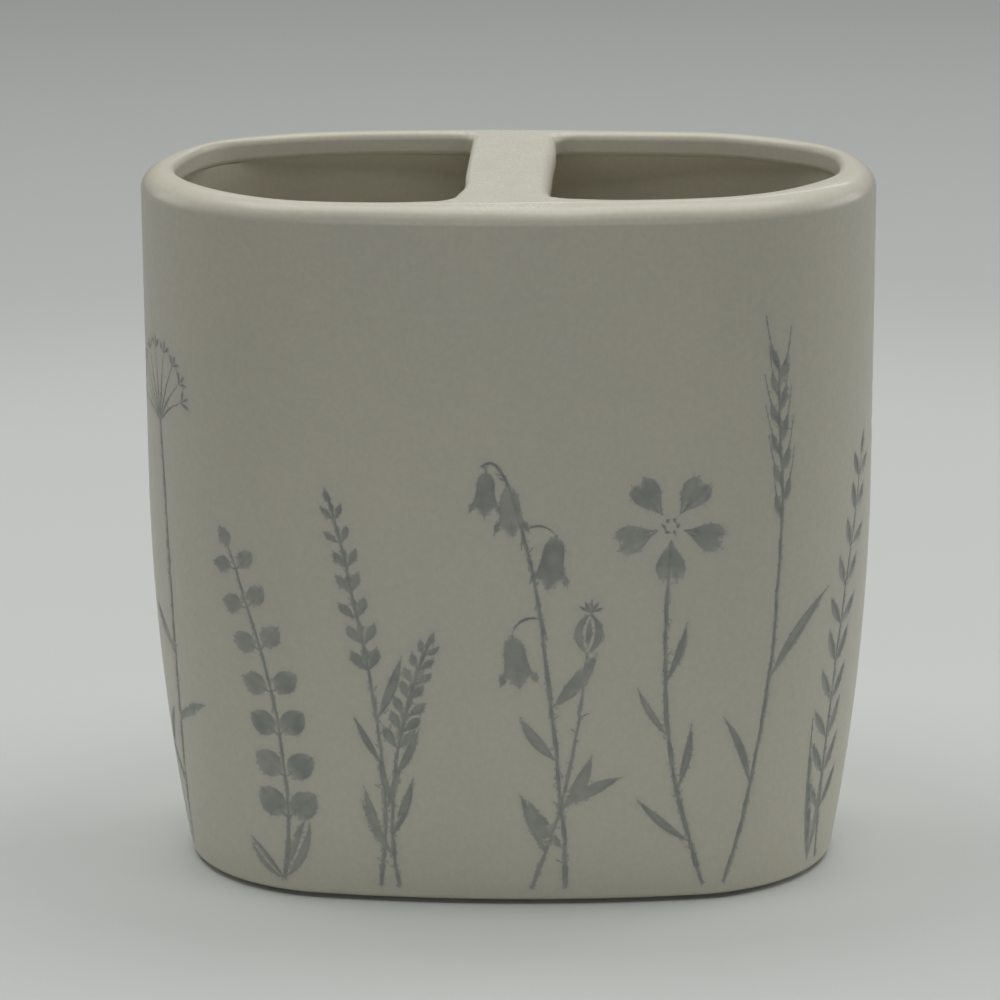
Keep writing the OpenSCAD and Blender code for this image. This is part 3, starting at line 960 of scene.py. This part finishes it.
# The bar's width, the round of the corners where it flares, and how far its ends are let in
BAR, BAR_CORNER, SEAT = 12.2, 3.0, 2.0
open_radius = SIDE_RADIUS - RIM
corner_x = BAR / 2 + BAR_CORNER
corner_y = math.sqrt((open_radius - BAR_CORNER) ** 2 - corner_x ** 2) - side_y
corner_turn = math.degrees(math.atan2(corner_y + side_y, corner_x))


def opening(half_turn):
    """The edge of an opening, from its front corner round the end, and back along the bar."""
    way = -1 if half_turn else 1
    return way_round([(way * x, way * y, radius, start + half_turn, stop + half_turn)
                      for x, y, radius, start, stop in (
                          (0, side_y, open_radius, -corner_turn, -end_turn),
                          (end_x, 0, end_radius - RIM, -end_turn, end_turn),
                          (0, -side_y, open_radius, end_turn, corner_turn),
                          (corner_x, corner_y, BAR_CORNER, corner_turn, 180),
                          (corner_x, -corner_y, BAR_CORNER, 180, 360 - corner_turn))])


openings = opening(0), opening(180)
side_part = open_radius * math.radians(corner_turn - end_turn)
end_part = (end_radius - RIM) * math.radians(2 * end_turn)
corner_part = BAR_CORNER * math.radians(180 - corner_turn)
rim_part = 2 * side_part + end_part
whole = openings[0][0][-1]
rim_along = np.concatenate([np.linspace(0, side_part, 12)[:-1],
                            np.linspace(side_part, side_part + end_part, 49)[:-1],
                            np.linspace(side_part + end_part, rim_part, 12)])
bar_along = np.concatenate([np.linspace(rim_part, rim_part + corner_part, 13)[:-1],
                            np.linspace(rim_part + corner_part, whole - corner_part, 21)[:-1],
                            np.linspace(whole - corner_part, whole, 13)])


def lip(edge_round):
    """The section of an opening's edge, over the top, down and under."""
    return (rounded(edge_round, TOP - edge_round, edge_round, 90, 180, 7)
            + rounded(LIP_UNDER, SEAM + LIP_UNDER, LIP_UNDER, 180, 270, 4))


def level_face(loops, height, down=False):
    """A flat face between loops of points, as triangles."""
    points = np.concatenate(loops)
    threes = tessellate_polygon([[Vector((x, y, 0)) for x, y in loop] for loop in loops])
    faces = []
    for a, b, c in threes:
        (ax, ay), (bx, by), (cx, cy) = points[a], points[b], points[c]
        upward = (bx - ax) * (cy - ay) - (by - ay) * (cx - ax) > 0
        faces.append((a, b, c) if upward != down else (c, b, a))
    return np.c_[points, np.full(len(points), height)], faces


def seat_faces(turned_in):
    """The faces where bar and rim meet, seen from the bar, or from the rim when turned in."""
    made = []
    for this, other in (openings, openings[::-1]):
        for along, first in ((rim_part, False), (0.0, True)):
            section = [(out, up) for out, up, _ in lip(LIP)] + [(SEAT, SEAM), (SEAT, TOP)]
            spots = np.concatenate([np.c_[beside(this, along, out), [[up]]]
                                    for out, up in section])
            order = list(range(len(section)))
            made.append((spots, [order[::-1] if first != turned_in else order]))
        a, b = beside(this, rim_part, SEAT)[0], beside(other, 0.0, SEAT)[0]
        spots = np.array([(*a, SEAM), (*a, TOP), (*b, TOP), (*b, SEAM)])
        made.append((spots, [[0, 1, 2, 3] if turned_in else [3, 2, 1, 0]]))
    return made


# Where the knife strayed from the drawn openings: a place, how far round it, and which way
STRAYED = [((-24, -26), (21, 14), (0.0, -1.6)), ((-50, 1), (8, 12), (-0.6, 0.0)),
           ((-26, 26), (22, 12), (0.0, 1.5)), ((-43, 16), (8, 9), (-1.7, 1.5)),
           ((-7, -24), (4.5, 5), (-1.1, 1.1)), ((-6, -15), (4, 6), (0.28, 0.0)),
           ((34, 24), (17, 12), (0.0, 1.3)), ((46, 13), (7, 9), (1.8, 0.8)),
           ((43, -14), (8, 8), (-0.6, 0.6)), ((23, -26), (9, 9), (0.0, -0.7)),
           ((8, -26), (5, 7), (0.9, 1.5)), ((5, 4), (9, 30), (0.4, 0.0)),
           ((7, 17), (4, 8), (0.35, 0.0))]
# Where the lip has sunk a little before it dried
SAG, SAG_AT, SAG_REACH = 0.35, (-27, -30), (18, 12)


def hand_cut(spots):
    """How far the clay of the top lies from its drawn place. At its outside it lies right."""
    x, y = np.abs(spots).T
    at_end = np.degrees(np.arctan2(y, x - end_x)) < end_turn
    depth = np.where(at_end, end_radius - np.hypot(x - end_x, y),
                     SIDE_RADIUS - np.hypot(x, y + side_y))
    moved = np.zeros_like(spots)
    for place, reach, way in STRAYED:
        near = np.exp(-(((spots - place) / reach) ** 2).sum(1)) * np.clip(depth / RIM, 0, 1)
        moved += near[:, None] * way
    return moved


def cut_by_hand(mesh):
    """Moves a mesh's points to where the openings were really cut, and turns its skin with them."""
    points = rows(mesh.vertices, "co") / MM
    spots, small = points[:, :2].copy(), 0.01
    grow_x, grow_y = ((hand_cut(spots + step) - hand_cut(spots - step)) / (2 * small)
                      for step in ((small, 0.0), (0.0, small)))
    points[:, :2] += hand_cut(spots)
    sag = SAG * np.exp(-(((spots - SAG_AT) / SAG_REACH) ** 2).sum(1))
    points[:, 2] -= sag * (points[:, 2] - SEAM) / (TOP - SEAM)
    mesh.vertices.foreach_set("co", (points * MM).ravel())
    corner_of = np.empty(len(mesh.loops), int)
    mesh.loops.foreach_get("vertex_index", corner_of)
    facing = rows(mesh.attributes["facing"].data, "vector")
    a, c = 1 + grow_x[corner_of, 0], grow_x[corner_of, 1]
    b, e = grow_y[corner_of, 0], 1 + grow_y[corner_of, 1]
    spread = a * e - b * c
    facing[:, 0], facing[:, 1] = ((e * facing[:, 0] - c * facing[:, 1]) / spread,
                                  (a * facing[:, 1] - b * facing[:, 0]) / spread)
    mesh.attributes["facing"].data.foreach_set("vector", facing.ravel())


def welded(bent_meshes, flat_parts, material):
    """Bent strips and flat faces as one closed mesh, cut by hand."""
    work = bmesh.new()
    for spots, faces in flat_parts:
        mesh = bpy.data.meshes.new("face")
        mesh.from_pydata(spots * MM, [], faces)
        mesh.attributes.new("facing", "FLOAT_VECTOR", "CORNER")
        bent_meshes.append(mesh)
    for mesh in bent_meshes:
        work.from_mesh(mesh)
        bpy.data.meshes.remove(mesh)
    # The flat faces meet the bent strips a little less closely than the strips meet each other
    bmesh.ops.remove_doubles(work, verts=work.verts, dist=0.01 * MM)
    bmesh.ops.triangulate(work, faces=[face for face in work.faces if len(face.verts) > 4])
    mesh = bpy.data.meshes.new("welded")
    work.to_mesh(mesh)
    work.free()
    cut_by_hand(mesh)
    mesh.materials.clear()
    mesh.materials.append(material)
    mesh.polygons.foreach_set("material_index", [0] * len(mesh.polygons))
    return mesh


opening_curves = [path_object("opening", path) for path in openings]
rim_section = [(0, SEAM, 0)]
for turn in np.radians(np.linspace(0, 90, 15)):
    over, down = math.cos(turn), math.sin(turn)
    rim_section.append((ROUND_IN * (over - 1), TOP + ROUND_DOWN * (down - 1),
                        math.degrees(math.atan2(ROUND_IN * down, ROUND_DOWN * over))))
rim_meshes = [bent_clay([strip(columns, rim_section)], plan_curve, body_glaze, bisque)]
rim_meshes += [bent_clay([strip(rim_along, lip(LIP))], curve, body_glaze, bisque)
               for curve in opening_curves]
rim_flats = seat_faces(turned_in=True)
for height, rim_out, lip_out in ((TOP, -ROUND_IN, LIP), (SEAM, 0.0, LIP_UNDER)):
    inner = [beside(path, along, out) for path in openings
             for along, out in ((0.0, SEAT), (rim_along, lip_out), (rim_part, SEAT))]
    rim_flats.append(level_face([beside(plan, columns[:-1], rim_out), np.concatenate(inner)],
                                height, down=height == SEAM))
shown("hand_cut_rim", welded(rim_meshes, rim_flats, body_glaze), "top_rim")

# THE CROSSBAR
# The real piece is a strap of the same clay, luted in between the openings and smoothed level with
# the rim. Its glaze is a little grainy where the strap dried faster than the rim.

SOFT_SIDE, CRISP_SIDE, EASES_IN = 2.0, 0.8, 0.22


def bar_edge_round(along, middle):
    """The round of the bar's upper edge: softer or crisper in the middle than at its ends."""
    share = min(along - rim_part, whole - along) / (whole - rim_part)
    share = min(max(share / EASES_IN, 0.0), 1.0)
    return LIP + (middle - LIP) * share * share * (3 - 2 * share)


def varied_strip(along, sections):
    """A strip whose section changes from one distance to the next."""
    parts = [strip([distance], section) for distance, section in zip(along, sections)]
    whole_strip = strip(along, sections[0])
    whole_strip["points"] = np.concatenate([part["points"] for part in parts])
    whole_strip["turns"] = np.concatenate([part["turns"] for part in parts])
    return whole_strip


bar_meshes, bar_top, bar_under = [], [], []
for path, curve, middle in zip(openings, opening_curves, (SOFT_SIDE, CRISP_SIDE)):
    rounds = [bar_edge_round(along, middle) for along in bar_along]
    bar_meshes.append(bent_clay([varied_strip(bar_along, [lip(r) for r in rounds])], curve,
                                body_glaze, bisque))
    ends = beside(path, rim_part, SEAT), beside(path, 0.0, SEAT)
    tops = [beside(path, along, out) for along, out in zip(bar_along, rounds)]
    bar_top += [ends[0], *tops, ends[1]]
    bar_under += [ends[0], beside(path, bar_along, LIP_UNDER), ends[1]]
bar_flats = seat_faces(turned_in=False)
bar_flats.append(level_face([np.concatenate(bar_top)], TOP))
bar_flats.append(level_face([np.concatenate(bar_under)], SEAM, down=True))
shown("strap_bar", welded(bar_meshes, bar_flats, body_glaze), "crossbar")

# THE PADS
# The real pads are self-adhesive bumpers of clear frosted rubber, moulded with a small dimple
# below, and pressed up into the recess inside the foot ring.

# A pad's radius, and how far and in which direction it lies from the centre of the round end
PAD_RADIUS, PAD_REACH, PAD_TURN = 4.5, 11.879, 65.0
PAD_EDGE, DIMPLE_EDGE, SHOULDER = 0.5, 0.35, 1.42


def frosted_rubber():
    """Clear elastomer gone milky, with moulding haze and a little dust."""
    material, tree, skin = new_material("frosted_rubber")
    place = add_node(tree, "ShaderNodeTexCoord").outputs["Object"]
    milky, dust = noise(tree, place, 420.0, 4.0), noise(tree, place, 3000.0)
    relief = add_node(tree, "ShaderNodeBump", {"Strength": 0.25, "Distance": 0.05 * MM,
                                               "Height": dust}).outputs[0]
    plug(tree, skin, {"Base Color": mixed(tree, milky, (0.36, 0.39, 0.39, 1),
                                          (0.46, 0.48, 0.47, 1)),
                      "Roughness": ramp(tree, milky, 0.0, 1.0, 0.38, 0.62, "LINEAR"),
                      "Normal": relief, "Transmission Weight": 0.25, "IOR": 1.41})
    return material


rubber = frosted_rubber()
# From the dimple's middle out to its edge, then over the pad's lower edge and up to its shoulder
pad_section = ([(-PAD_RADIUS + 0.6, 0.14, -90), (-PAD_RADIUS + 1.2, 0.1, -70)]
               + rounded(-PAD_RADIUS + 1.75, DIMPLE_EDGE, DIMPLE_EDGE, -110, -90, 2)
               + rounded(-0.6, PAD_EDGE, PAD_EDGE, -90, 0, 6)
               + [(-0.03, 1.3, 3), (0, SHOULDER, 45)])
for name, way_x, way_y in (("front_left", -1, -1), ("front_right", 1, -1),
                           ("rear_left", -1, 1), ("rear_right", 1, 1)):
    centre = (way_x * (end_x + PAD_REACH * math.cos(math.radians(PAD_TURN))),
              way_y * PAD_REACH * math.sin(math.radians(PAD_TURN)))
    circle = way_round([(*centre, PAD_RADIUS, 0, 180), (*centre, PAD_RADIUS, 180, 360)])
    pad_curve = path_object("pad_outline", circle)
    pad_along = np.linspace(0, circle[0][-1], 41)
    pad_parts = [
        disc(pad_along, pad_section[0][0], pad_section[0][1], down=True),
        strip(pad_along, pad_section),
        strip(pad_along, [(0, SHOULDER, 0), (0, FLOOR_UNDER, 0)]),
        disc(pad_along, 0.0, FLOOR_UNDER),
    ]
    pad_mesh = bent_clay(pad_parts, pad_curve, rubber, rubber, belly=0.0)
    shown("moulded_pad_" + name, pad_mesh, "pad_" + name)
    bpy.data.objects.remove(pad_curve)

# THE TABLE, THE LIGHT AND THE CAMERA
# A pale sheet of card under and behind the holder. A wide soft box hangs overhead, a weak window
# stands in front, pale walls to both sides, and a thin bright strip behind glints on the rim.

CARD_HALF, CARD_TOP = 3.0, -0.02
FOOT_OVAL = (0.59, 1.0, 0.0)


def plain_stage():
    """The card. It is seen in a paler tone than the one in which it lights the holder."""
    mesh = bpy.data.meshes.new("card")
    mesh.from_pydata([(x * CARD_HALF, y * CARD_HALF, CARD_TOP * MM)
                      for x, y in ((-1, -1), (1, -1), (1, 1), (-1, 1))], [], [(0, 1, 2, 3)])
    card = bpy.data.objects.new("card", mesh)
    bpy.context.collection.objects.link(card)
    material, tree, skin = new_material("pale_card")
    place = add_node(tree, "ShaderNodeTexCoord").outputs["Object"]
    oval = add_node(tree, "ShaderNodeVectorMath", {0: place, 1: FOOT_OVAL},
                    operation="MULTIPLY").outputs[0]
    away, from_foot = (add_node(tree, "ShaderNodeVectorMath", {0: vector},
                                operation="LENGTH").outputs["Value"] for vector in (place, oval))
    # The tone in which the card lights the holder is dark beyond 0.1 to 0.2 m, so that little light
    # bounces up from further off.
    lighting = mixed(tree, ramp(tree, away, 0.1, 0.2), (0.585, 0.61, 0.59, 1),
                     (0.2, 0.207, 0.2, 1))
    # The seen tone darkens from 0.26 to 0.44 m out: a painted fall-off of the light on the card.
    seen = mixed(tree, ramp(tree, away, 0.26, 0.44), (0.602, 0.619, 0.596, 1),
                 (0.512, 0.529, 0.515, 1))
    # Within about 2 cm round the foot the seen tone is paler: painted light that thins the holder's
    # shadow on the card.
    seen = mixed(tree, ramp(tree, from_foot, 0.027, 0.048), (0.705, 0.725, 0.698, 1), seen)
    ray = add_node(tree, "ShaderNodeLightPath").outputs
    is_seen = sums(tree, "MAXIMUM", ray["Is Camera Ray"],
                   sums(tree, "MAXIMUM", ray["Is Glossy Ray"], ray["Is Transmission Ray"]))
    plug(tree, skin, {"Base Color": mixed(tree, is_seen, lighting, seen), "Roughness": 0.8})
    mesh.materials.append(material)


def soft_lamp(name, place, width, depth, watts, aim):
    """A soft box at a place in metres, turned to what it is aimed at."""
    light = bpy.data.lights.new(name, "AREA")
    light.shape = "RECTANGLE"
    light.size, light.size_y, light.energy = width, depth, watts
    lamp = bpy.data.objects.new(name, light)
    lamp.location = place
    lamp.rotation_euler = (Vector(aim) - Vector(place)).to_track_quat("-Z", "Y").to_euler()
    bpy.context.collection.objects.link(lamp)


plain_stage()
soft_lamp("soft_box_overhead", (0, 0.05, 1.2), 1.6, 1.0, 15.1, (0, 0.05, 0))
soft_lamp("window_in_front", (0, -1.4, 0.3), 1.2, 0.4, 3.1, (0, 0, 0.05))
soft_lamp("pale_wall_right", (1.2, 0.5, 0.42), 0.8, 0.5, 3.5, (0, 0, 0.05))
soft_lamp("bright_strip_behind", (0.1, 1.3, 0.75), 0.9, 0.05, 1.1, (0, 0, 0.1))
soft_lamp("pale_wall_left", (-1.2, 0.5, 0.42), 0.8, 0.5, 2.1, (0, 0, 0.05))

world = bpy.data.worlds.new("room")
bpy.context.scene.world = world
world.use_nodes = True
plug(world.node_tree, world.node_tree.nodes["Background"],
     {"Color": (1.0, 1.0, 1.0, 1), "Strength": 0.01})

# The camera's place and lens are fitted to the outline, the rim and the foot in the photograph
RISE, SWING, ROLL = math.radians(15.324), math.radians(1.689), math.radians(-0.255)
AWAY = 0.62029
lens = bpy.data.cameras.new("camera")
lens.sensor_width, lens.lens = 36, 148.64
lens.shift_x, lens.shift_y = -0.009655, 0.010953
back = Vector((math.sin(SWING) * math.cos(RISE), -math.cos(SWING) * math.cos(RISE),
               math.sin(RISE)))
right = (-back).cross(Vector((0, 0, 1))).normalized()
above = right.cross(-back)
turned = Matrix((math.cos(ROLL) * right + math.sin(ROLL) * above,
                 -math.sin(ROLL) * right + math.cos(ROLL) * above, back)).transposed()
camera = bpy.data.objects.new("camera", lens)
stands_at = Vector((0, 0, TOP / 2 * MM)) + AWAY * back
camera.matrix_world = Matrix.Translation(stands_at) @ turned.to_4x4()
bpy.context.collection.objects.link(camera)
bpy.context.scene.camera = camera
bpy.context.scene.view_settings.view_transform = "Standard"

for curve in (plan_curve, *opening_curves):
    bpy.data.objects.remove(curve)
